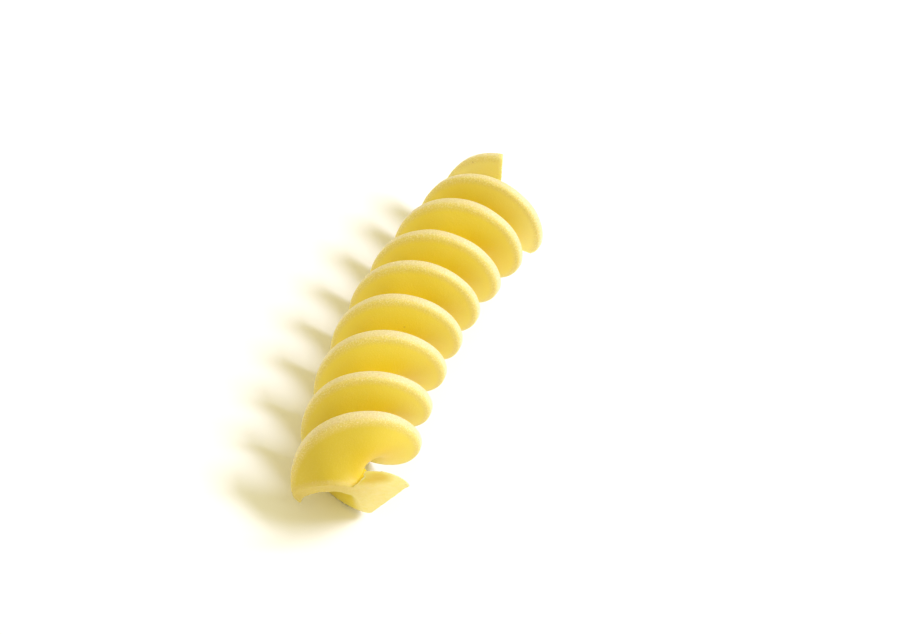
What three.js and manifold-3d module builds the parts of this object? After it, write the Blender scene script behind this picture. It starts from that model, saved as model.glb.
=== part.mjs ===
import * as THREE from "three";
import { mergeVertices } from "three/addons/utils/BufferGeometryUtils.js";
import Module from "manifold-3d";

// Dry corkscrew pasta piece: two blades twisted about one gently bent axis. Millimetres, +Z up.
const OUTER_RADIUS = 5.0;
const BEND_RADIUS = 72;
// Phase, in half turns of the twist, where the bent axis runs along +X
const MIDDLE_PHASE = 4.5;
// Axial length of each half turn, from the near end to the far end
const HALF_TURNS = [5.5, 4.4, 4.8, 4.4, 4.3, 4.2, 4.6, 3.75, 3.5, 3.4];
// Wall measured square to the blade, at the axis and just inside the rim
const CORE_WALL = 1.6;
const RIM_WALL = 0.85;
const RIM_ROUNDING = 0.5;
// Angle in radians by which the middle of the section runs ahead of its rims
const SWEEP = 1.2;
// At the near end the second blade's rim stands forward by this much
const NEAR_FLARE = 1.25;
// Its far side is thicker there by this share, at the thickest place between axis and rim
const NEAR_SWELL = 2.6;
// Power of the share of the radius; below 1 it brings the thickest place nearer to the axis
const SWELL_POWER = 0.6;
// Both fade out between these phases
const FLARE_FADE = [0.5, 1.5];
// Phases, in half turns, where the twist starts and stops before it is cut
const TWIST_START = -0.6;
const TWIST_END = 10.2;
// Each knife cut: the phase where it meets the axis, and its lean sideways and upwards
const NEAR_CUT = { phase: 0.17, side: -0.2, up: -0.28 };
// A second, steeper cut trims the outer corner of the second blade's near end
const NEAR_TRIM = { phase: -0.609, side: -1.256, up: -0.418 };
const FAR_CUT = { phase: 8.22, side: -0.21, up: 0.33 };
// Past the far cut only what lies past one of these two is gone, so one blade's tip stands out
const TIP_CUT = { phase: 8.4, side: 0.6, up: 0.18 };
const TIP_TRIM = { phase: 8.689, side: 1.599, up: -0.637 };
// The rims are worn flat by this much where the piece lies on a table
const FLAT_DEPTH = 0.1;

const STATIONS = 144;
const POINTS_PER_SIDE = 17;
const RIM_POINTS = 7;
const KNIFE_SIZE = 40;

// Axial place of a phase: a smooth curve through the ends of the half turns
function makeAxialPlace(halfTurns) {
  const ends = [0];
  for (const length of halfTurns) {
    ends.push(ends[ends.length - 1] + length);
  }
  const last = halfTurns.length;
  const endOf = (index) => {
    const inside = Math.min(Math.max(index, 0), last);
    const beyond = index - inside;
    return ends[inside] + beyond * (beyond < 0 ? halfTurns[0] : halfTurns[last - 1]);
  };
  return (phase) => {
    const index = Math.floor(phase);
    const f = phase - index;
    const slopeIn = (endOf(index + 1) - endOf(index - 1)) / 2;
    const slopeOut = (endOf(index + 2) - endOf(index)) / 2;
    const rise = f * f * (3 - 2 * f);
    const tangents = f * (1 - f) * ((1 - f) * slopeIn - f * slopeOut);
    return endOf(index) + rise * (endOf(index + 1) - endOf(index)) + tangents;
  };
}

const axialPlace = makeAxialPlace(HALF_TURNS);
const MIDDLE = axialPlace(MIDDLE_PHASE);
const LEAD = axialPlace(HALF_TURNS.length) / (HALF_TURNS.length * Math.PI);
const INNER_RADIUS = OUTER_RADIUS - RIM_ROUNDING;

// Thickness of a blade in the plane square to the axis: the wall, widened by the blade's slant
function sectionThickness(radius) {
  const share = Math.min(radius / INNER_RADIUS, 1);
  const wall = CORE_WALL + (RIM_WALL - CORE_WALL) * Math.sin(share * Math.PI / 2);
  const over = Math.max(0, (radius - INNER_RADIUS) / RIM_ROUNDING);
  const rounding = Math.sqrt(Math.max(0, 1 - over * over));
  return wall * rounding * Math.hypot(LEAD, radius) / LEAD;
}

// Closed outline of the straightened section as [along, across] pairs
function sectionOutline() {
  const reach = [];
  for (let i = 0; i < POINTS_PER_SIDE; i += 1) {
    reach.push(INNER_RADIUS * (2 * i / (POINTS_PER_SIDE - 1) - 1));
  }
  const arc = [];
  for (let i = 1; i <= RIM_POINTS; i += 1) {
    const angle = Math.PI * i / (RIM_POINTS + 1);
    const radius = INNER_RADIUS + RIM_ROUNDING * Math.sin(angle);
    arc.push([radius, -Math.sign(Math.cos(angle)) * sectionThickness(radius) / 2]);
  }
  const lower = reach.map((x) => [x, -sectionThickness(Math.abs(x)) / 2]);
  const half = [...lower, ...arc];
  return [...half, ...half.map(([along, across]) => [-along, -across])];
}

// Sideways and upward offset from the axis of one section point, at a phase of the twist
function offsetFromAxis(phase, along, across) {
  const share = Math.min(Math.abs(along) / OUTER_RADIUS, 1);
  const turn = (phase - 1) * Math.PI + SWEEP * (1 - share * share);
  const side = -along * Math.sin(turn) + across * Math.cos(turn);
  const up = along * Math.cos(turn) + across * Math.sin(turn);
  return [side, up];
}

// How far out on the second blade a section point lies, from 0 to 1
function secondBladeShare(along) {
  return Math.min(Math.max(-along / OUTER_RADIUS, 0), 1);
}

function nearFade(phase) {
  return 1 - THREE.MathUtils.smoothstep(phase, FLARE_FADE[0], FLARE_FADE[1]);
}

// How far a section point of the second blade stands forward at the near end
function flare(phase, along) {
  return NEAR_FLARE * secondBladeShare(along) ** 2 * nearFade(phase);
}

// Growth of the far side of the second blade at the near end, none at the axis or the rim
function swell(phase, along, across) {
  if (across > 0) {
    return 1;
  }
  const share = secondBladeShare(along) ** SWELL_POWER;
  return 1 + NEAR_SWELL * Math.sin(share * Math.PI) * nearFade(phase);
}

// Frame of the bent axis at an axial place: the point, the way along it and the way outwards
function axisFrame(place) {
  const bend = (place - MIDDLE) / BEND_RADIUS;
  const forward = new THREE.Vector3(Math.cos(bend), -Math.sin(bend), 0);
  const outward = new THREE.Vector3(Math.sin(bend), Math.cos(bend), 0);
  const point = outward.clone().multiplyScalar(BEND_RADIUS);
  point.y -= BEND_RADIUS;
  return { point, forward, outward };
}

// The twisted bar before it is cut, as rings of section points joined by triangles
function twistedBar() {
  const outline = sectionOutline();
  const count = outline.length;
  const positions = [];
  const indices = [];
  for (let i = 0; i <= STATIONS; i += 1) {
    const phase = TWIST_START + (TWIST_END - TWIST_START) * i / STATIONS;
    const place = axialPlace(phase);
    for (const [along, across] of outline) {
      const { point, outward } = axisFrame(place - flare(phase, along));
      const [side, up] = offsetFromAxis(phase, along, across * swell(phase, along, across));
      positions.push(point.x + outward.x * side, point.y + outward.y * side, up);
    }
  }
  for (let i = 0; i < STATIONS; i += 1) {
    for (let j = 0; j < count; j += 1) {
      const a = i * count + j;
      const b = i * count + (j + 1) % count;
      indices.push(a, a + count, b, b, a + count, b + count);
    }
  }
  closeEnd(indices, 0, count, false);
  closeEnd(indices, STATIONS * count, count, true);
  const geometry = new THREE.BufferGeometry();
  geometry.setAttribute("position", new THREE.Float32BufferAttribute(positions, 3));
  geometry.setIndex(indices);
  return geometry;
}

// Closes one end of the bar with a strip that zigzags across the section from rim to rim
function closeEnd(indices, base, count, forward) {
  const tip = count - (RIM_POINTS + 1) / 2;
  for (let step = 0; step < count / 2; step += 1) {
    const a = (tip + step) % count;
    const b = (tip + step + 1) % count;
    const c = (tip - step + count) % count;
    const d = (tip - step - 1 + count) % count;
    for (const [p, q, r] of [[a, b, c], [c, b, d]]) {
      if (p !== q && q !== r && r !== p) {
        indices.push(base + p, base + (forward ? r : q), base + (forward ? q : r));
      }
    }
  }
}

// Block that takes away all that lies past a knife cut; direction is -1 at the near end
function knifeBlock(cut, direction) {
  const { point, forward, outward } = axisFrame(axialPlace(cut.phase));
  const normal = forward.clone().addScaledVector(outward, -cut.side);
  normal.z -= cut.up;
  normal.normalize().multiplyScalar(direction);
  const block = new THREE.BoxGeometry(KNIFE_SIZE, KNIFE_SIZE, KNIFE_SIZE);
  const turn = new THREE.Quaternion().setFromUnitVectors(new THREE.Vector3(0, 0, 1), normal);
  block.applyQuaternion(turn);
  point.addScaledVector(normal, KNIFE_SIZE / 2);
  return block.translate(point.x, point.y, point.z);
}

// Slab that takes the lowest part of the rims away
function tableSlab() {
  const top = -OUTER_RADIUS + FLAT_DEPTH;
  const slab = new THREE.BoxGeometry(2 * KNIFE_SIZE, KNIFE_SIZE, OUTER_RADIUS);
  return slab.translate(0, 0, top - OUTER_RADIUS / 2);
}

const wasm = await Module();
wasm.setup();

function toSolid(geometry) {
  geometry.deleteAttribute("normal");
  geometry.deleteAttribute("uv");
  const merged = mergeVertices(geometry);
  const vertProperties = new Float32Array(merged.attributes.position.array);
  const triVerts = new Uint32Array(merged.index.array);
  return new wasm.Manifold(new wasm.Mesh({ numProp: 3, vertProperties, triVerts }));
}

function toGeometry(solid) {
  const mesh = solid.getMesh();
  const geometry = new THREE.BufferGeometry();
  geometry.setAttribute("position", new THREE.BufferAttribute(new Float32Array(mesh.vertProperties), 3));
  geometry.setIndex(new THREE.BufferAttribute(new Uint32Array(mesh.triVerts), 1));
  return geometry;
}

const pastTip = toSolid(knifeBlock(TIP_CUT, 1)).add(toSolid(knifeBlock(TIP_TRIM, 1)));
const pastFarEnd = toSolid(knifeBlock(FAR_CUT, 1)).intersect(pastTip);
const cutBar = toSolid(twistedBar())
  .subtract(toSolid(knifeBlock(NEAR_CUT, -1)))
  .subtract(toSolid(knifeBlock(NEAR_TRIM, -1)))
  .subtract(pastFarEnd)
  .subtract(toSolid(tableSlab()));
const body = toGeometry(cutBar);
body.computeBoundingBox();
const box = body.boundingBox;
body.translate(-(box.min.x + box.max.x) / 2, -(box.min.y + box.max.y) / 2, -box.min.z);
body.computeVertexNormals();

const fusillo = new THREE.Mesh(body, new THREE.MeshStandardMaterial({
  color: 0xedc84a,
  roughness: 0.55,
  metalness: 0.0,
}));
fusillo.name = "fusillo";

const part = new THREE.Group();
part.add(fusillo);

export default part;
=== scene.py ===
# %% [markdown]
# # A dry corkscrew pasta piece
#
# The piece is about 40 mm long and 10 mm across. It was one flat strip of dough that the die
# twisted about its own middle, so that it has two blades, and it bent a little as it dried.
# The imported CAD model is loaded first; the dressed piece has to stay the size that the CAD says.

# %% Load the CAD frame
import math

import bpy
import numpy as np
from mathutils import Matrix


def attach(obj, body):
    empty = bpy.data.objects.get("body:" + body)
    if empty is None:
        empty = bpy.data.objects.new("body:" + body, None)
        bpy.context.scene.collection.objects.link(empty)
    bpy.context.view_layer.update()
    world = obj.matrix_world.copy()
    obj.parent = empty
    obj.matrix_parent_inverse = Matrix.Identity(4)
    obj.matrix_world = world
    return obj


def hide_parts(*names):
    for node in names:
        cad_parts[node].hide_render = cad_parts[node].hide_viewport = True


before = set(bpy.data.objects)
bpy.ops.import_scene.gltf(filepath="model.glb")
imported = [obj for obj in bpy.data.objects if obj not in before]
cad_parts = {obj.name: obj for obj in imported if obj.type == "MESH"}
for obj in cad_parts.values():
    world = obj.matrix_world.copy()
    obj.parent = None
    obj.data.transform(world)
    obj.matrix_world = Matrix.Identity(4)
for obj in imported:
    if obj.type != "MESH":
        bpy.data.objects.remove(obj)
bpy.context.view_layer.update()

MM = 0.001


print("CAD nodes:", len(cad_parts))

# %% [markdown]
# ## The twist
#
# Everything follows from two numbers on the blade: the phase, which counts half turns along the
# piece, and the place across the strip. The half turns are not all as long as each other, because
# the dough came out of the die unevenly, so a smooth curve gives the axial place of each phase.
# All sizes are in millimetres until the finished mesh goes into the CAD frame.

# %% Half turns
OUTER_RADIUS = 5.0
# Axial length of each half turn, from the near end to the far end
HALF_TURNS = np.array([5.5, 4.4, 4.8, 4.4, 4.3, 4.2, 4.6, 3.75, 3.5, 3.4])
# Half turns added past either end, as long as the one beside them
SPARE_TURNS = 3
# Phase where the bent axis runs along +X
MIDDLE_PHASE = 4.5


def axial_place(phase):
    """Cubic curve through the ends of the half turns; past either end it goes on straight.

    With f the share of the half turn that is done: its start, plus f squared times (3 - 2f) of its
    length, plus f times (1 - f) of what (1 - f) times the slope at its start is more than f times
    the slope at its end. A slope is half the way from the end before to the end after.
    """
    phase = np.asarray(phase, float)
    before_first = [HALF_TURNS[0]] * SPARE_TURNS
    past_last = [HALF_TURNS[-1]] * SPARE_TURNS
    lengths = np.concatenate([[0.0], before_first, HALF_TURNS, past_last])
    ends = np.cumsum(lengths) - sum(before_first)
    index = np.floor(phase).astype(int)
    f = phase - index
    before, start, end, after = (ends[index + SPARE_TURNS + k] for k in (-1, 0, 1, 2))
    rise = f * f * (3 - 2 * f)
    tangents = f * (1 - f) * ((1 - f) * (end - before) / 2 - f * (after - start) / 2)
    return start + rise * (end - start) + tangents


MIDDLE = float(axial_place(MIDDLE_PHASE))
LEAD = HALF_TURNS.sum() / (len(HALF_TURNS) * math.pi)
print("lead per radian %.3f mm, bend centred at %.2f mm" % (LEAD, MIDDLE))

# %% [markdown]
# ## The section
#
# Cut square to its axis, the strip looks like a bow tie: the wall is thinner at the rims than at
# the core, yet the slant of a blade makes its section thicker the further it is from the axis.
# The rims are rounded.

# %% Section outline
# Wall square to the blade, at the axis and just inside the rim
CORE_WALL = 1.6
RIM_WALL = 0.85
RIM_ROUNDING = 0.5
INNER_RADIUS = OUTER_RADIUS - RIM_ROUNDING


def section_thickness(radius):
    """Wall square to the blade, times the length of the slant, over the lead; zero at the rim."""
    share = np.minimum(radius / INNER_RADIUS, 1)
    wall = CORE_WALL + (RIM_WALL - CORE_WALL) * np.sin(share * math.pi / 2)
    over = np.maximum(0, (radius - INNER_RADIUS) / RIM_ROUNDING)
    rounding = np.sqrt(np.maximum(0, 1 - over * over))
    return wall * rounding * np.hypot(LEAD, radius) / LEAD


def section_outline(side_points, rim_points):
    """One side of the strip, a round rim, and the same again turned half way about the axis."""
    reach = np.linspace(-INNER_RADIUS, INNER_RADIUS, side_points)
    angle = math.pi * np.arange(1, rim_points + 1) / (rim_points + 1)
    rim = INNER_RADIUS + RIM_ROUNDING * np.sin(angle)
    along = np.concatenate([reach, rim])
    across = np.concatenate([
        -section_thickness(np.abs(reach)) / 2,
        -np.sign(np.cos(angle)) * section_thickness(rim) / 2,
    ])
    return np.concatenate([along, -along]), np.concatenate([across, -across])


SECTION = section_outline(side_points=56, rim_points=11)
print("section outline has", len(SECTION[0]), "points")

# %% [markdown]
# ## The twisted bar
#
# The outline is carried along the axis, turning half a turn for each whole phase. Its middle runs
# ahead of its rims, which turns the straight bow tie into an S and gives each blade its domed near
# side. The axis itself is an arc of a wide circle. The result is one closed tube that is longer
# than the piece, so that the cuts can take its ends off afterwards, as the knife does at the die.

# %% Bent axis
BEND_RADIUS = 72.0


def bent_place(place, side, up):
    """Point at a place along the arc, moved outwards by side and upwards by up.

    The angle is the way from the middle over the bend radius. Its sine and cosine are multiplied
    by the bend radius plus side, and the bend radius is taken off the second again.
    """
    bend = (place - MIDDLE) / BEND_RADIUS
    reach = BEND_RADIUS + side
    return np.stack([reach * np.sin(bend), reach * np.cos(bend) - BEND_RADIUS, up], axis=-1)


def smooth_step(low, high, value):
    """Goes from 0 at low to 1 at high: three times the share squared, less twice its cube."""
    share = np.clip((value - low) / (high - low), 0, 1)
    return share * share * (3 - 2 * share)


print("the axis turns by %.1f degrees" % math.degrees(HALF_TURNS.sum() / BEND_RADIUS))

# %% Bar surface
# Angle in radians by which the middle of the section runs ahead of its rims
SWEEP = 1.2
# At the near end the second blade's rim stands forward by this much
NEAR_FLARE = 1.25
# Its far side is thicker there by this share, at the thickest place between axis and rim
NEAR_SWELL = 2.6
# Power of the share of the radius; below 1 it brings the thickest place nearer to the axis
SWELL_POWER = 0.6
# Both fade out between these phases
FLARE_FADE = (0.5, 1.5)
# Phases where the twist starts and stops before it is cut, and the rings between them
TWIST_START = -0.6
TWIST_END = 10.2
RINGS = 620


def bar_points(phases, along, across):
    """Section point turned by the phase, plus the sweep, which fades with the square of radius.

    At the near end the second blade, where along is negative, stands forward by the square of its
    share of the radius, and its far side swells between the axis and the rim. Both fade out over
    the first phases.
    """
    phases = phases[:, None]
    share = np.minimum(np.abs(along) / OUTER_RADIUS, 1)
    second = np.where(along < 0, share, 0)
    fade = 1 - smooth_step(*FLARE_FADE, phases)
    far_side = np.where(across < 0, NEAR_SWELL, 0)
    across = across * (1 + far_side * np.sin(second ** SWELL_POWER * math.pi) * fade)
    turn = (phases - 1) * math.pi + SWEEP * (1 - share * share)
    side = -along * np.sin(turn) + across * np.cos(turn)
    up = along * np.cos(turn) + across * np.sin(turn)
    place = axial_place(phases) - NEAR_FLARE * second * second * fade
    return bent_place(place, side, up)


def tube_faces(rings, count):
    """Quads between neighbouring rings of a closed outline, and one face over each end."""
    ring = np.arange(rings - 1)[:, None] * count
    here = np.arange(count)[None, :]
    beside = (here + 1) % count
    corners = [ring + here, ring + count + here, ring + count + beside, ring + beside]
    quads = np.stack(corners, axis=-1).reshape(-1, 4).tolist()
    first = list(range(count))
    last = [(rings - 1) * count + i for i in reversed(range(count))]
    return quads + [first, last]


PHASES = np.linspace(TWIST_START, TWIST_END, RINGS)
BAR_POINTS = bar_points(PHASES, *SECTION).reshape(-1, 3)
BAR_FACES = tube_faces(RINGS, len(SECTION[0]))
print("bar:", len(BAR_POINTS), "points,", len(BAR_FACES), "faces")

# %% [markdown]
# ## The knife
#
# Real pieces are cut by a blade that sweeps past the die while the strip turns and curls, so the
# cuts lean, and the dough tears rather than parts. Each cut is a block whose cutting face is a
# fine grid with a torn relief: a sum of plane waves in random directions, which is a cheap noise
# with a chosen size of grain. At the near end all that lies past either cut goes. At the far end
# a point goes only if it lies past the far cut and past one of the two cuts at the tip as well, so
# the tip of one blade stands out. The boolean needs closed solids, and leaves one closed solid.

# %% Knife planes
# The phase where each cut meets the axis, and its lean sideways and upwards
NEAR_CUT = {"phase": 0.17, "side": -0.2, "up": -0.28}
NEAR_TRIM = {"phase": -0.609, "side": -1.256, "up": -0.418}
FAR_CUT = {"phase": 8.22, "side": -0.21, "up": 0.33}
TIP_CUT = {"phase": 8.4, "side": 0.6, "up": 0.18}
TIP_TRIM = {"phase": 8.689, "side": 1.599, "up": -0.637}
# What a cut takes away lies past it in one of these directions along the axis
NEARWARDS = -1
FARWARDS = 1


def cut_plane(cut, direction):
    """Point on the axis, and the unit normal: forwards, leaning against side and up."""
    place = float(axial_place(cut["phase"]))
    bend = (place - MIDDLE) / BEND_RADIUS
    forward = np.array([math.cos(bend), -math.sin(bend), 0.0])
    outward = np.array([math.sin(bend), math.cos(bend), 0.0])
    normal = forward - cut["side"] * outward - np.array([0.0, 0.0, cut["up"]])
    return bent_place(place, 0.0, 0.0), direction * normal / np.linalg.norm(normal)


print("near cut faces", cut_plane(NEAR_CUT, NEARWARDS)[1].round(2))
print("far cut faces", cut_plane(FAR_CUT, FARWARDS)[1].round(2))

# %% Torn relief
WAVES = 36
# Shortest and longest wave, as shares of the size
LENGTH_SPREAD = (0.7, 1.5)
# Height and size of each relief in millimetres, and the seed of its random draws
COARSE_TEAR = {"height": 0.020, "size": 0.9, "seed": 7}
FINE_TEAR = {"height": 0.012, "size": 0.45, "seed": 11}
# Half width of the torn part of a cutting face, and the width of its border, where it fades
TORN_REACH = 7.0
TORN_FADE = 1.0


def wave_noise(at, size, seed):
    """Sum of waves in random directions, each about size millimetres long, scaled to about one."""
    rng = np.random.default_rng(seed)
    ways = rng.normal(size=(WAVES, 3))
    ways /= np.linalg.norm(ways, axis=1)[:, None]
    lengths = size * rng.uniform(*LENGTH_SPREAD, WAVES)
    shifts = rng.uniform(0, 2 * math.pi, WAVES)
    total = np.zeros(at.shape[:-1])
    for way, length, shift in zip(ways, lengths, shifts):
        total += np.sin(at @ way * (2 * math.pi / length) + shift)
    return total / math.sqrt(WAVES / 2)


def relief(at, height, size, seed):
    """Wave noise times the height."""
    return height * wave_noise(at, size, seed)


def torn_relief(at, u, v):
    """Height of the torn face over its plane, which fades to nothing outside the piece."""
    reach = np.maximum(np.abs(u), np.abs(v))
    fade = 1 - smooth_step(TORN_REACH - TORN_FADE, TORN_REACH, reach)
    return fade * (relief(at, **COARSE_TEAR) + relief(at, **FINE_TEAR))


print("torn relief of about %.3f mm" % math.hypot(COARSE_TEAR["height"], FINE_TEAR["height"]))

# %% Blocks that take dough away
KNIFE_SIZE = 40.0
# Grid points across the torn part of a cutting face
TORN_POINTS = 101
# Corners of a square, going round
SQUARE = [(-1, -1), (1, -1), (1, 1), (-1, 1)]
# From this share of a unit direction on, an axis lies too close to it to make a frame with
TOO_CLOSE = 0.9
# The rims are worn flat by this much where the piece lies on a table
FLAT_DEPTH = 0.1


def square_ways(facing):
    """Two unit directions that make a right-handed frame with facing, and facing itself."""
    third = np.array(facing) / np.linalg.norm(facing)
    helper = np.array([0.0, 1.0, 0.0]) if abs(third[1]) < TOO_CLOSE else np.array([1.0, 0.0, 0.0])
    first = np.cross(helper, third)
    first /= np.linalg.norm(first)
    return first, np.cross(third, first), third


def knife_block(cut, direction):
    """Block that holds all that lies past a cut: a grid in front, four sides and a back."""
    point, normal = cut_plane(cut, direction)
    first, second, third = square_ways(normal)
    half = KNIFE_SIZE / 2
    fine = np.linspace(-TORN_REACH, TORN_REACH, TORN_POINTS)
    line = np.concatenate([[-half], fine, [half]])
    u, v = np.meshgrid(line, line, indexing="ij")
    front = point + u[..., None] * first + v[..., None] * second
    front = front + torn_relief(front, u, v)[..., None] * third
    back = [point + half * a * first + half * b * second + KNIFE_SIZE * third for a, b in SQUARE]
    count = len(line)
    grid = np.arange(count * count).reshape(count, count)
    quads = np.stack([grid[:-1, :-1], grid[:-1, 1:], grid[1:, 1:], grid[1:, :-1]], axis=-1)
    b00, b10, b11, b01 = (count * count + i for i in range(4))
    sides = [
        [b00, b10, b11, b01],
        [b00, b01] + grid[0, ::-1].tolist(),
        grid[-1].tolist() + [b11, b10],
        grid[:, 0].tolist() + [b10, b00],
        grid[::-1, -1].tolist() + [b01, b11],
    ]
    points = np.concatenate([front.reshape(-1, 3), np.array(back)])
    return points, quads.reshape(-1, 4).tolist() + sides


def table_block():
    """Flat block under the piece, whose top takes the lowest part of the rims away."""
    top = FLAT_DEPTH - OUTER_RADIUS
    ends = (-KNIFE_SIZE, KNIFE_SIZE)
    sides = (-KNIFE_SIZE / 2, KNIFE_SIZE / 2)
    corners = [(x, y, z) for x in ends for y in sides for z in (top - OUTER_RADIUS, top)]
    faces = [[0, 1, 3, 2], [4, 6, 7, 5], [0, 4, 5, 1], [2, 3, 7, 6], [0, 2, 6, 4], [1, 5, 7, 3]]
    return np.array(corners, float), faces


print("each cutting face has", (TORN_POINTS + 2) ** 2, "points")


# %% Make and cut meshes
def make_object(name, points, faces):
    """Mesh object at the origin from points and faces."""
    made_mesh = bpy.data.meshes.new(name)
    made_mesh.from_pydata(np.asarray(points).tolist(), [], faces)
    made_mesh.update()
    made = bpy.data.objects.new(name, made_mesh)
    bpy.context.scene.collection.objects.link(made)
    return made


def bake_modifiers(target):
    """Replaces the mesh by what its modifiers make of it."""
    graph = bpy.context.evaluated_depsgraph_get()
    made_mesh = bpy.data.meshes.new_from_object(target.evaluated_get(graph))
    target.modifiers.clear()
    target.data = made_mesh


def combine(target, other, operation):
    """Applies one exact boolean to target and removes the other object."""
    step = target.modifiers.new("Cut", "BOOLEAN")
    step.object = other
    step.operation = operation
    step.solver = "EXACT"
    bake_modifiers(target)
    bpy.data.objects.remove(other)


# %% Cut the bar
fusillo = make_object("pasta_twist", BAR_POINTS, BAR_FACES)
past_tip = make_object("past_tip", *knife_block(TIP_CUT, FARWARDS))
combine(past_tip, make_object("past_tip_trim", *knife_block(TIP_TRIM, FARWARDS)), "UNION")
past_far = make_object("past_far", *knife_block(FAR_CUT, FARWARDS))
combine(past_far, past_tip, "INTERSECT")
combine(fusillo, make_object("past_near", *knife_block(NEAR_CUT, NEARWARDS)), "DIFFERENCE")
combine(fusillo, make_object("past_trim", *knife_block(NEAR_TRIM, NEARWARDS)), "DIFFERENCE")
combine(fusillo, past_far, "DIFFERENCE")
combine(fusillo, make_object("table", *table_block()), "DIFFERENCE")
mesh = fusillo.data
print("after the cuts:", len(mesh.vertices), "points,", len(mesh.polygons), "faces")

# %% [markdown]
# ## Edges of the cuts
#
# The boolean leaves edges as sharp as glass, which dough never has. So the points on and just
# under a cut face are drawn towards the middle of their neighbours a few times, which rounds the
# edges and leaves the middle of the face nearly as it was. How deep a point lies under the cuts
# follows from the same planes: under both cuts at the near end, and at the far end under the far
# cut or under both cuts at the tip.


# %% Depth under the cuts
def read_vectors(collection, name):
    """One vector for each item of a mesh collection, as an array."""
    flat = np.empty(3 * len(collection))
    collection.foreach_get(name, flat)
    return flat.reshape(-1, 3)


def depth_under(at, cut, direction):
    """Distance inside a knife plane: the way from the point to the plane, along its normal."""
    point, normal = cut_plane(cut, direction)
    return (point - at) @ normal


points = read_vectors(mesh.vertices, "co")
CUT_DEPTH = np.minimum(
    np.minimum(
        depth_under(points, NEAR_CUT, NEARWARDS),
        depth_under(points, NEAR_TRIM, NEARWARDS),
    ),
    np.maximum(
        depth_under(points, FAR_CUT, FARWARDS),
        np.minimum(
            depth_under(points, TIP_CUT, FARWARDS),
            depth_under(points, TIP_TRIM, FARWARDS),
        ),
    ),
)
print("deepest point lies %.1f mm under the cuts" % CUT_DEPTH.max())

# %% Round the edges
# The rounding fades out between these depths, and each pass goes this share of the way
ROUNDED_DEPTHS = (0.05, 0.3)
ROUNDING_PASSES = 5
ROUNDING_SHARE = 0.5

EDGES = np.empty(2 * len(mesh.edges), int)
mesh.edges.foreach_get("vertices", EDGES)
EDGES = EDGES.reshape(-1, 2)


def neighbour_mean(values):
    """Sum over each point's neighbours along the edges, over their number."""
    total = np.zeros_like(values)
    count = np.bincount(EDGES.ravel(), minlength=len(values))
    for here, there in (EDGES.T, EDGES.T[::-1]):
        for column in range(values.shape[1]):
            total[:, column] += np.bincount(here, values[there, column], len(values))
    return total / count[:, None]


near_cut = 1 - smooth_step(*ROUNDED_DEPTHS, CUT_DEPTH)
for _ in range(ROUNDING_PASSES):
    points += ROUNDING_SHARE * near_cut[:, None] * (neighbour_mean(points) - points)
mesh.vertices.foreach_set("co", points.ravel())
mesh.update()
normals = read_vectors(mesh.vertices, "normal")
print("rounded", int((near_cut > 0).sum()), "of", len(points), "points")

# %% [markdown]
# ## Relief
#
# Dough that leaves a bronze die is not even. The blades are slightly wavy and carry a fine grain,
# which moves the points along their normals, so this relief is real in the mesh. Beside the notch
# at the near end, where the knife pulled the dough out before it tore, the cut face has a shallow
# dent. What the finish needs to know of a place is measured here too: how far out from the axis it
# is, whether it lies on a cut face or where the dough was pulled, and whether it is on the edge of
# a rim that looks towards the far end.


# %% Pulled dough beside the notch
def bend_angle(at):
    """Angle of each point about the middle of the bend."""
    return np.arctan2(at[:, 0], at[:, 1] + BEND_RADIUS)


def from_axis(at):
    """Sideways offset from the bent axis, and the distance from it."""
    side = np.hypot(at[:, 0], at[:, 1] + BEND_RADIUS) - BEND_RADIUS
    return side, np.hypot(side, at[:, 2])


def distance_to_line(at, start, end):
    """Distance of each point from the nearest point of the line between start and end."""
    way = end - start
    share = np.clip((at - start) @ way / (way @ way), 0, 1)
    return np.linalg.norm(at - start - share[:, None] * way, axis=1)


# The pulled place follows this line, and fades out between these distances from it
PULLED_FROM = np.array([-20.7, -3.35, 2.9])
PULLED_TO = np.array([-20.5, -4.1, 3.5])
PULLED_REACH = (0.2, 1.7)
# Cosines of the angle to the near cut's normal between which a surface starts to face the cut
FACES_CUT = (0.0, 0.6)
PULLED_DENT = 0.08
DENTED_DEPTH = 0.15

place = MIDDLE + bend_angle(points) * BEND_RADIUS
side, radius = from_axis(points)
pulled = 1 - smooth_step(*PULLED_REACH, distance_to_line(points, PULLED_FROM, PULLED_TO))
pulled *= smooth_step(*FACES_CUT, normals @ cut_plane(NEAR_CUT, NEARWARDS)[1])
points -= normals * (PULLED_DENT * pulled * (CUT_DEPTH < DENTED_DEPTH))[:, None]
print("pulled place covers %.2f%% of the points" % (100 * pulled.mean()))

# %% Cut faces and rims
# A point stops belonging to a cut face between these depths
CUT_FACE_DEPTHS = (0.1, 0.5)
# The rim starts between these distances from the axis
RIM_RADII = (4.6, 4.78)
# Cosines of the angle to the axis between which a surface starts to look towards the far end
LOOKS_FORWARDS = (-0.5, 0.1)

cut_face = (1 - smooth_step(*CUT_FACE_DEPTHS, CUT_DEPTH)) * (1 - pulled)
bend_here = bend_angle(points)
forwards = normals[:, 0] * np.cos(bend_here) - normals[:, 1] * np.sin(bend_here)
rim = smooth_step(*RIM_RADII, radius) * smooth_step(*LOOKS_FORWARDS, forwards) * (1 - cut_face)
print("cut faces cover %.1f%% of the points" % (100 * cut_face.mean()))
print("rims cover %.1f%% of the points" % (100 * rim.mean()))

# %% Waviness and grain
WAVINESS = {"height": 0.012, "size": 3.4, "seed": 3}
GRAIN = {"height": 0.0015, "size": 0.5, "seed": 5}
lift = relief(points, **WAVINESS) + relief(points, **GRAIN)
points += normals * lift[:, None]
print("relief from %.3f to %.3f mm" % (lift.min(), lift.max()))
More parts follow.
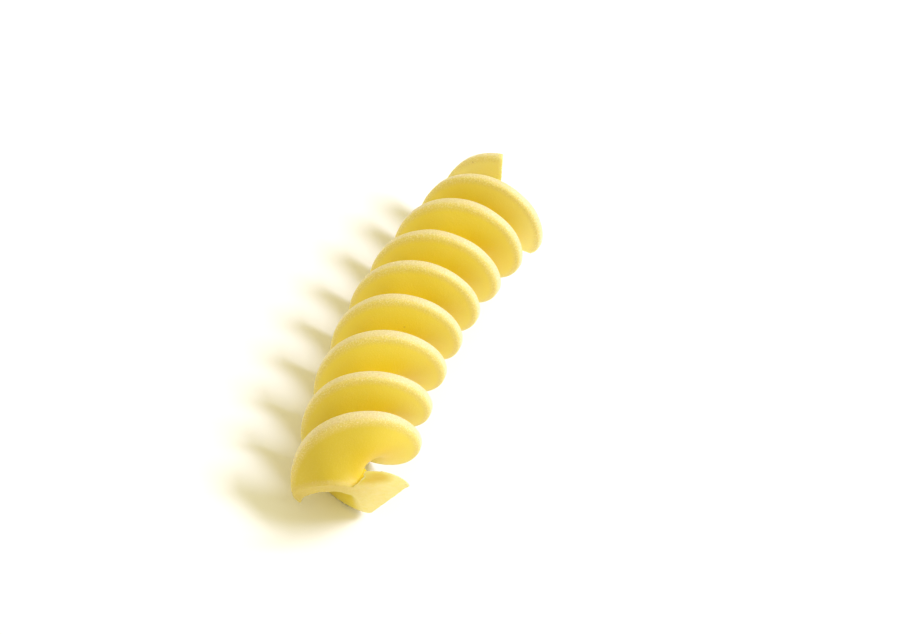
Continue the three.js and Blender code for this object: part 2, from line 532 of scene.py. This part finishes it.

# %% [markdown]
# ## Into the CAD frame
#
# So far the piece was in the frame of its own bend. The CAD model puts the middle of its box over
# the origin and its lowest flat on the table, so the same shift is made here, the flats underneath
# are pressed level again, and millimetres become metres. Six numbers are left on each point for
# the material: how far it is on a rim's far edge, on a cut face and in the pulled place, its share
# of the radius, and how near it is to the far end and to the near end, where only the outer side
# of the bend counts in full. The rim's far edge takes a painted highlight, and the pulled place and
# the near end take painted shade.

# %% Shift and scale
# Puts the middle of the CAD model's box over the origin, and the flats on the table
CAD_SHIFT = np.array([1.60077, 0.89489, OUTER_RADIUS - FLAT_DEPTH])
# All that lies lower than this belongs to a flat
FLAT_TOP = 0.04

points += CAD_SHIFT
points[points[:, 2] < FLAT_TOP, 2] = 0.0
mesh.vertices.foreach_set("co", (points * MM).ravel())
print("box of the skin in mm:", points.min(0).round(2), points.max(0).round(2))

# %% Numbers for the material
# Phases between which each end starts
FAR_END = (7.4, 8.3)
NEAR_END = (0.4, 2.2)
# Sideways offsets from the axis between which the painted shade of the near end counts more and more
NEAR_END_SIDES = (-3.0, 1.5)
SHARP_EDGE = math.radians(55)

near_end_share = 1 - smooth_step(*axial_place(NEAR_END), place)
POINT_NUMBERS = {
    "rim": rim,
    "cut_face": cut_face,
    "radius": radius / OUTER_RADIUS,
    "far_end": smooth_step(*axial_place(FAR_END), place),
    "near_end_shade": near_end_share * smooth_step(*NEAR_END_SIDES, side),
    "pulled": pulled,
}
for name, values in POINT_NUMBERS.items():
    layer = mesh.attributes.new(name, "FLOAT", "POINT")
    layer.data.foreach_set("value", np.asarray(values, np.float32))
mesh.shade_smooth()
mesh.set_sharp_from_angle(angle=SHARP_EDGE)
mesh.update()
print("kept on each point:", ", ".join(POINT_NUMBERS))

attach(fusillo, "root")
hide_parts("fusillo")

# %% [markdown]
# ## Shader arithmetic
#
# A node tree is easier to read as arithmetic. The class below wraps a socket, so that adding or
# multiplying two values adds the Math node, and every other node comes from one method.


# %% Socket class
class Value:
    """A shader socket that takes part in Python arithmetic."""

    tree = None

    def __init__(self, socket):
        self.socket = socket

    @classmethod
    def node(cls, kind, settings=None, inputs=None, output=0):
        """Adds a node, sets it up, feeds its inputs, and returns one of its outputs, if any."""
        made = cls.tree.nodes.new(kind)
        for key, value in (settings or {}).items():
            setattr(made, key, value)
        for key, value in (inputs or {}).items():
            cls.feed(made.inputs[key], value)
        return cls(made.outputs[output]) if len(made.outputs) else None

    @classmethod
    def feed(cls, socket, value):
        """Links a value, or sets a plain number or colour on the socket."""
        if isinstance(value, Value):
            cls.tree.links.new(value.socket, socket)
        else:
            socket.default_value = value

    def math(self, operation, *others):
        """One Math node, with this value first."""
        inputs = {0: self, **{i + 1: other for i, other in enumerate(others)}}
        return self.node("ShaderNodeMath", {"operation": operation}, inputs)

    def __add__(self, other):
        return self.math("ADD", other)

    __radd__ = __add__

    def __mul__(self, other):
        return self.math("MULTIPLY", other)

    __rmul__ = __mul__

    def __sub__(self, other):
        return self.math("SUBTRACT", other)

    def __rsub__(self, other):
        return self.node("ShaderNodeMath", {"operation": "SUBTRACT"}, {0: other, 1: self})

    def clamp(self):
        """The value, but no less than 0 and no more than 1."""
        return self.math("MAXIMUM", 0.0).math("MINIMUM", 1.0)

    def step(self, low, high):
        """Smooth step of the value from low to high."""
        return self.node(
            "ShaderNodeMapRange",
            {"interpolation_type": "SMOOTHSTEP"},
            {"Value": self, "From Min": low, "From Max": high},
        )


# %% Attributes, noise and mixed colours
def attribute(name):
    """A number kept on the mesh points."""
    return Value.node("ShaderNodeAttribute", {"attribute_name": name}, output="Fac")


def noise(scale, detail=2.0, roughness=0.5):
    """Noise in object space; scale counts grains per metre."""
    return Value.node(
        "ShaderNodeTexNoise", {},
        {"Vector": PLACE, "Scale": scale, "Detail": detail, "Roughness": roughness},
    )


# A Mix node has a set of sockets for each kind of data, so the ones for colours go by number
MIX_SHARE, MIX_FIRST, MIX_SECOND = 0, 6, 7
MIXED_COLOUR = 2


def blend(share, first, second):
    """Mix of two colours: the first where share is 0, the second where it is 1."""
    return Value.node(
        "ShaderNodeMix", {"data_type": "RGBA"},
        {MIX_SHARE: share, MIX_FIRST: first, MIX_SECOND: second},
        output=MIXED_COLOUR,
    )


# %% [markdown]
# ## Dough
#
# Dry durum dough is a warm yellow that light enters and leaves again a little way off, so the
# material scatters light under its surface. Towards the axis it is painted a deeper yellow, as shade
# in the grooves between the blades. Towards the rims it turns sandy, with dusky grain and bright
# specks that are painted glints, and a pale band follows the far edge of each rim: the rim's paler
# dough with a painted highlight on it. The far end is paler than the rest, and the near end takes
# painted shade. The cut faces are pale, because they are rough, and take painted shade at the near
# end; where the dough was pulled it stayed smooth skin, painted darker as shade in the hollow
# beside the notch. A few faint specks of bran lie in the dough. Each of these is a colour that is
# laid over the ones before it by its own mask, so that each can be set without touching the others.

# %% Masks and noises
pasta = bpy.data.materials.new("durum_dough")
pasta.use_nodes = True
Value.tree = pasta.node_tree
pasta.node_tree.nodes.clear()
PLACE = Value.node("ShaderNodeTexCoord", output="Object")

rim_mask = attribute("rim")
cut_mask = attribute("cut_face")
radius_share = attribute("radius")
far_end = attribute("far_end")
near_end_shade = attribute("near_end_shade")
pulled_shade_mask = attribute("pulled")

cloud = noise(scale=420.0, detail=3.0)
fine = noise(scale=8500.0, detail=2.0, roughness=0.6)
coarse = noise(scale=1900.0, detail=3.0, roughness=0.6)
# Noise lies evenly about this value
NOISE_MIDDLE = 0.5
print("nodes for masks and noises:", len(pasta.node_tree.nodes))

# %% Colour of the blades
# Painted shade: a deeper, darker yellow towards the axis, where the grooves between the blades lie in
# shade
GROOVE_SHADE = (0.83, 0.64, 0.012, 1.0)
BODY = (0.85, 0.71, 0.085, 1.0)
SHADED = (0.62, 0.47, 0.035, 1.0)
LIGHT = (0.89, 0.79, 0.29, 1.0)
SAND = (0.74, 0.61, 0.22, 1.0)
# Pale cream along the far edge of each rim: the rim's paler dough with a painted highlight on it
CREAM_HIGHLIGHT = (0.77, 0.66, 0.43, 1.0)
# Shares of the radius between which the painted groove shade ends, and between which the sandy zone
# starts
GROOVE_END = (0.4, 0.97)
SANDY_ZONE = (0.87, 0.985)
# How far each colour covers what is under it where its mask is full
CLOUD_COVER = 0.35
SHADED_COVER = 0.8
LIGHT_COVER = 0.9
SAND_COVER = 0.65
CREAM_HIGHLIGHT_COVER = 0.8

outwards = (radius_share.step(*GROOVE_END) + (cloud - NOISE_MIDDLE) * CLOUD_COVER).clamp()
grainy = radius_share.step(*SANDY_ZONE)
colour = blend(outwards, GROOVE_SHADE, BODY)
# Painted shade over the near end, fullest on the outer side of the bend
colour = blend(near_end_shade * SHADED_COVER, colour, SHADED)
colour = blend(far_end * LIGHT_COVER, colour, LIGHT)
colour = blend(grainy * SAND_COVER, colour, SAND)
# Painted highlight along the far edge of each rim, over its paler dough
colour = blend(rim_mask * CREAM_HIGHLIGHT_COVER, colour, CREAM_HIGHLIGHT)
print("nodes with the colour of the blades:", len(pasta.node_tree.nodes))

# %% Bright grain as painted glints, and dusky grain
# Bright specks: painted glints on the grainy dough near the rims and on the cut faces
SPARK_GLINT = (0.97, 0.90, 0.68, 1.0)
DUST = (0.60, 0.49, 0.20, 1.0)
# Values of the fine noise between which a grain turns bright, or stops being dusky
BRIGHT_GRAIN = (0.5, 0.68)
DUSKY_GRAIN = (0.3, 0.48)
# How far the grain covers what is under it: anywhere, in the sandy zone, on a cut face
SPARK_COVER = 0.03
SANDY_SPARK_COVER = 0.36
CUT_SPARK_COVER = 0.3
DUST_COVER = 0.03
SANDY_DUST_COVER = 0.4

spark_cover = SPARK_COVER + grainy * SANDY_SPARK_COVER + cut_mask * CUT_SPARK_COVER
dust_cover = DUST_COVER + grainy * SANDY_DUST_COVER
# Painted glints as bright specks
colour = blend((fine.step(*BRIGHT_GRAIN) * spark_cover).clamp(), colour, SPARK_GLINT)
colour = blend(((1 - fine.step(*DUSKY_GRAIN)) * dust_cover).clamp(), colour, DUST)
print("a bright grain near a rim covers up to %.2f" % (SPARK_COVER + SANDY_SPARK_COVER))

# %% Cut faces with painted shade at the near end, pulled dough with painted shade, and bran
CUT = (0.93, 0.81, 0.38, 1.0)
CUT_SHADED = (0.64, 0.49, 0.13, 1.0)
# Smooth skin where the dough was pulled, darkened with painted shade in the hollow beside the notch
PULLED_SHADE = (0.66, 0.46, 0.008, 1.0)
BRAN = (0.42, 0.22, 0.06, 1.0)
# How far each covers what is under it where its mask is full, and how much a cut face varies
CUT_COVER = 0.75
CUT_MOTTLE = 0.8
CUT_SHADED_COVER = 0.85
PULLED_SHADE_COVER = 0.95
BRAN_COVER = 0.35
# Cells per metre that may hold a speck, the size of one in its cell, and where specks are found
BRAN_CELLS = 620.0
BRAN_SIZE = (0.03, 0.07)
BRAN_PLACES = (0.55, 0.62)

# The cut faces take painted shade at the near end
cut_colour = blend(near_end_shade * CUT_SHADED_COVER, CUT, CUT_SHADED)
cut_cover = (cut_mask * (CUT_COVER + (coarse - NOISE_MIDDLE) * CUT_MOTTLE)).clamp()
colour = blend(cut_cover, colour, cut_colour)
# Painted shade in the hollow beside the notch
colour = blend(pulled_shade_mask * PULLED_SHADE_COVER, colour, PULLED_SHADE)
cells = Value.node(
    "ShaderNodeTexVoronoi", {}, {"Vector": PLACE, "Scale": BRAN_CELLS}, output="Distance",
)
bran = (1 - cells.step(*BRAN_SIZE)) * noise(scale=260.0).step(*BRAN_PLACES)
colour = blend(bran * BRAN_COVER, colour, BRAN)
print("bran specks are up to %.2f mm across" % (2 * BRAN_SIZE[1] / BRAN_CELLS / MM))

# %% Grain height and roughness
# Shares of the two noises in the height, anywhere and where the dough is sandy or cut, and the
# height of the whole in metres
FINE_HEIGHT = 0.5
SANDY_HEIGHT = 1.0
COARSE_HEIGHT = 0.4
CUT_HEIGHT = 2.0
GRAIN_HEIGHT = 0.06 * MM
# Roughness anywhere, what it loses on a rim and gains on a cut face, and how far it varies
PLAIN_ROUGHNESS = 0.5
RIM_SMOOTHER = 0.06
CUT_ROUGHER = 0.2
ROUGHNESS_MOTTLE = 0.15

height = fine * (FINE_HEIGHT + grainy * SANDY_HEIGHT) + coarse * (COARSE_HEIGHT + cut_mask * CUT_HEIGHT)
bump = Value.node(
    "ShaderNodeBump", {}, {"Strength": 0.55, "Distance": GRAIN_HEIGHT, "Height": height},
)
mottle = (coarse - NOISE_MIDDLE) * ROUGHNESS_MOTTLE
roughness = (PLAIN_ROUGHNESS - rim_mask * RIM_SMOOTHER + cut_mask * CUT_ROUGHER + mottle).clamp()
print("nodes with bump and roughness:", len(pasta.node_tree.nodes))

# %% Dough shader
# How far red light goes under the surface; green and blue go less far, by these shares
GLOW_DEPTH = 0.9 * MM
GLOW_SHARES = (1.0, 0.85, 0.25)

shader = Value.node(
    "ShaderNodeBsdfPrincipled", {"subsurface_method": "RANDOM_WALK"},
    {
        "Base Color": colour,
        "Roughness": roughness,
        "IOR": 1.5,
        "Subsurface Weight": 0.4,
        "Subsurface Radius": GLOW_SHARES,
        "Subsurface Scale": GLOW_DEPTH,
        "Normal": bump,
    },
)
Value.node("ShaderNodeOutputMaterial", inputs={"Surface": shader})
mesh.materials.clear()
mesh.materials.append(pasta)
print("dough material has", len(pasta.node_tree.nodes), "nodes")

# %% [markdown]
# ## Floor
#
# The piece lies on a sheet of white paper, which is staged, because it isn't part of the object.
# It reaches far past the picture, so that no edge of it shows.

# %% White sheet
FLOOR_HALF = 0.6
floor_corners = [[FLOOR_HALF * x, FLOOR_HALF * y, 0] for x, y in SQUARE]
floor = make_object("floor", floor_corners, [[0, 1, 2, 3]])
paper = bpy.data.materials.new("white_sheet")
paper.use_nodes = True
paper_shader = paper.node_tree.nodes["Principled BSDF"]
paper_shader.inputs["Base Color"].default_value = (0.93, 0.93, 0.97, 1.0)
paper_shader.inputs["Roughness"].default_value = 0.9
paper_shader.inputs["Specular IOR Level"].default_value = 0.1
floor.data.materials.append(paper)
print("floor is %.1f m wide" % (2 * FLOOR_HALF))

# %% [markdown]
# ## Camera
#
# The camera sees the piece from its near end and from above. Its place is worked out from how the
# axis lies in the picture: how far it leans to the right of upright there, and how steeply it runs
# away from us. The long lens keeps the far turns nearly as large as the near ones.

# %% Camera
# Angles of the axis in the picture, measured at this phase
AXIS_LEAN = math.radians(31.62)
AXIS_AWAY = math.radians(43.92)
VIEW_PHASE = 5
# From the axis there to the camera: right, up and towards us, in millimetres
VIEW_OFFSET = np.array([3.746, -1.250, 500.0])
# Focal length in millimetres, and the nearest distance that is drawn, in metres
LENS = 231.5
CLIP_START = 0.01


def set_up(made, axes, at):
    """Links an object and puts it at a point in metres, with the columns of axes as its own."""
    bpy.context.scene.collection.objects.link(made)
    pose = Matrix(axes.tolist()).to_4x4()
    pose.translation = at.tolist()
    made.matrix_world = pose


view_place = float(axial_place(VIEW_PHASE))
bend = (view_place - MIDDLE) / BEND_RADIUS
forward = np.array([math.cos(bend), -math.sin(bend), 0.0])
inward = np.array([-math.sin(bend), -math.cos(bend), 0.0])
UPWARD = np.array([0.0, 0.0, 1.0])
# The same three directions, each as right, up and towards us in the picture
rightwards = math.sin(AXIS_LEAN)
upwards = math.cos(AXIS_LEAN)
in_picture = math.cos(AXIS_AWAY)
away = math.sin(AXIS_AWAY)
along_view = np.array([rightwards * in_picture, upwards * in_picture, -away])
across_view = np.array([upwards, -rightwards, 0.0])
up_view = np.array([rightwards * away, upwards * away, in_picture])
VIEW_AXES = np.outer(forward, along_view) + np.outer(inward, across_view) + np.outer(UPWARD, up_view)
eye = bent_place(view_place, 0.0, 0.0) + CAD_SHIFT + VIEW_AXES @ VIEW_OFFSET
camera_data = bpy.data.cameras.new("camera")
camera_data.lens = LENS
camera_data.clip_start = CLIP_START
camera = bpy.data.objects.new("camera", camera_data)
set_up(camera, VIEW_AXES, eye * MM)
bpy.context.scene.camera = camera
print("camera at", eye.round(1), "mm")

# %% [markdown]
# ## Light
#
# The light is bright and soft. One square lamp of slightly cool light stands high on the right, so
# the rims catch it and the grooves fall off to the left. The warm light of the room fills the
# shadows, as light does that has passed through the dough. The white of the sheet has to stay
# white, so colours are shown without a film look.

# %% Lamp and room
# From the piece to the lamp: right, up and towards us in the picture
LAMP_WAY = np.array([0.85, 0.42, 0.34])
# Distance and size in metres, power in watts
LAMP_DISTANCE = 0.6
LAMP_SIZE = 0.2
LAMP_POWER = 2.6
LAMP_COLOUR = (0.93, 0.985, 1.24)
ROOM_COLOUR = (1.0, 0.91, 0.52, 1.0)
ROOM_STRENGTH = 0.84

lamp_data = bpy.data.lights.new("key", "AREA")
lamp_data.shape = "SQUARE"
lamp_data.size = LAMP_SIZE
lamp_data.energy = LAMP_POWER
lamp_data.color = LAMP_COLOUR
lamp_way = VIEW_AXES @ LAMP_WAY
lamp_way /= np.linalg.norm(lamp_way)
lamp_side = np.cross(UPWARD, lamp_way)
lamp_side /= np.linalg.norm(lamp_side)
lamp_axes = np.stack([lamp_side, np.cross(lamp_way, lamp_side), lamp_way], axis=1)
set_up(bpy.data.objects.new("key", lamp_data), lamp_axes, lamp_way * LAMP_DISTANCE)
room = bpy.data.worlds.new("warm_room")
room.use_nodes = True
background = room.node_tree.nodes["Background"]
background.inputs["Color"].default_value = ROOM_COLOUR
background.inputs["Strength"].default_value = ROOM_STRENGTH
bpy.context.scene.world = room
bpy.context.scene.view_settings.view_transform = "Standard"
print("lamp stands %.0f degrees up" % math.degrees(math.asin(lamp_way[2])))
